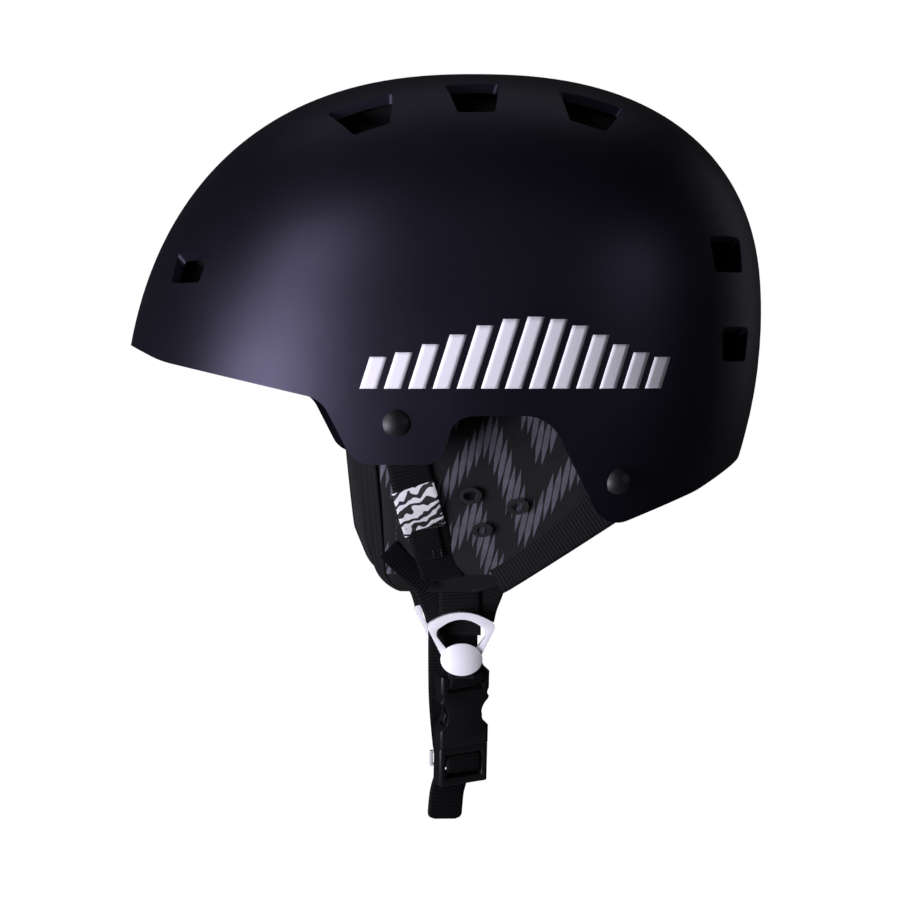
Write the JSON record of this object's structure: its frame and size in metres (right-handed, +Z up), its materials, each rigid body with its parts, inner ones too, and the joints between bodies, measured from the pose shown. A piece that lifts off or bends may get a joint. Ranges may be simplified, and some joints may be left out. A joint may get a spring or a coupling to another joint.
{
  "type": "water helmet",
  "caption": "Hard-shell water helmet with scooped vents, foam liner, patterned ear pads, webbing harness, white strap dividers and a side-release buckle.",
  "frame": {"origin": "where the crown of the head meets the crown pad, at mid-length of the shell", "axes": "+Z up, -Y towards the face opening, +X towards the wearer's left"},
  "size_m": [0.228, 0.2822, 0.3307],
  "materials": {
    "shell": "matt moulded ABS, near black",
    "hardware": "satin black nylon",
    "liner": "closed-cell impact foam, black",
    "comfort": "brushed soft lining over foam",
    "pad_print": "woven cover, spiky grey-lilac print on near black",
    "neoprene": "smooth neoprene, black",
    "eyelet": "moulded soft rim, black",
    "webbing": "ribbed polyester webbing, black",
    "ribbon": "printed ribbon, wavy white and black stripes",
    "divider_white": "satin white acetal",
    "keeper": "milky grey soft ring"
  },
  "bodies": {
    "root": {"comfort_pad_crown": "comfort", "comfort_pad_front": "comfort", "comfort_pad_left": "comfort", "comfort_pad_rear": "comfort", "comfort_pad_right": "comfort", "divider_back_left": "divider_white", "divider_back_right": "divider_white", "divider_pin_left": "hardware", "divider_pin_right": "hardware", "ear_pad_backing_left": "liner", "ear_pad_backing_right": "liner", "ear_pad_cover_left": "pad_print", "ear_pad_cover_right": "pad_print", "ear_pad_eyelets_left": "eyelet", "ear_pad_eyelets_right": "eyelet", "ear_pad_foam_left": "liner", "ear_pad_foam_right": "liner", "ear_pad_hem_left": "neoprene", "ear_pad_hem_right": "neoprene", "ear_pad_lining_left": "neoprene", "ear_pad_lining_right": "neoprene", "front_strap_left": "webbing", "front_strap_right": "webbing", "liner_crown": "liner", "liner_front": "liner", "liner_left": "liner", "liner_rear": "liner", "liner_right": "liner", "outer_shell": "shell", "rear_strap_left": "webbing", "rear_strap_right": "webbing", "ribbon_tag_left": "ribbon", "ribbon_tag_right": "ribbon", "rivet_washers": "hardware", "shell_rivets": "hardware", "strap_loop_left": "webbing", "strap_loop_right": "webbing"},
    "chin_strap": {"chin_strap_left": "webbing", "chin_strap_right": "webbing", "buckle_socket": "hardware"},
    "buckle_tongue": {"buckle_tongue": "hardware", "strap_tail": "webbing"},
    "tongue_arm_left": {"tongue_arm_left": "hardware"},
    "tongue_arm_right": {"tongue_arm_right": "hardware"},
    "divider_left_lever": {"divider_front_left": "divider_white", "divider_button_left": "divider_white"},
    "divider_right_lever": {"divider_front_right": "divider_white", "divider_button_right": "divider_white"},
    "keeper": {"strap_keeper": "keeper"}
  },
  "joints": [
    {"name": "chin_strap_swing", "type": "hinge", "parent": "root", "child": "chin_strap", "pos_m": [0, 0.0038, -0.2272], "axis": [1, 0, 0], "range_deg": [-60, 75]},
    {"name": "buckle_release", "type": "slide", "parent": "chin_strap", "child": "buckle_tongue", "axis": [-0.309, 0, -0.9511], "range_m": [0, 0.012]},
    {"name": "arm_left_press", "type": "hinge", "parent": "buckle_tongue", "child": "tongue_arm_left", "pos_m": [0.03145, 0.01163, -0.26526], "axis": [0.8992, 0.3256, -0.2922], "range_deg": [0, 7], "stiffness_Nm_per_rad": 0.05},
    {"name": "arm_right_press", "type": "hinge", "parent": "buckle_tongue", "child": "tongue_arm_right", "pos_m": [0.03566, -0.00123, -0.26663], "axis": [0.8992, 0.3256, -0.2922], "range_deg": [-7, 0], "stiffness_Nm_per_rad": 0.05},
    {"name": "divider_left_open", "type": "hinge", "parent": "root", "child": "divider_left_lever", "pos_m": [0.05685, 0.0038, -0.234], "axis": [0, 1, 0], "range_deg": [0, 75]},
    {"name": "divider_right_open", "type": "hinge", "parent": "root", "child": "divider_right_lever", "pos_m": [-0.05685, 0.0038, -0.234], "axis": [0, -1, 0], "range_deg": [0, 75]},
    {"name": "keeper_slide", "type": "slide", "parent": "chin_strap", "child": "keeper", "axis": [1, 0, 0], "range_m": [-0.004, 0.004]}
  ]
}
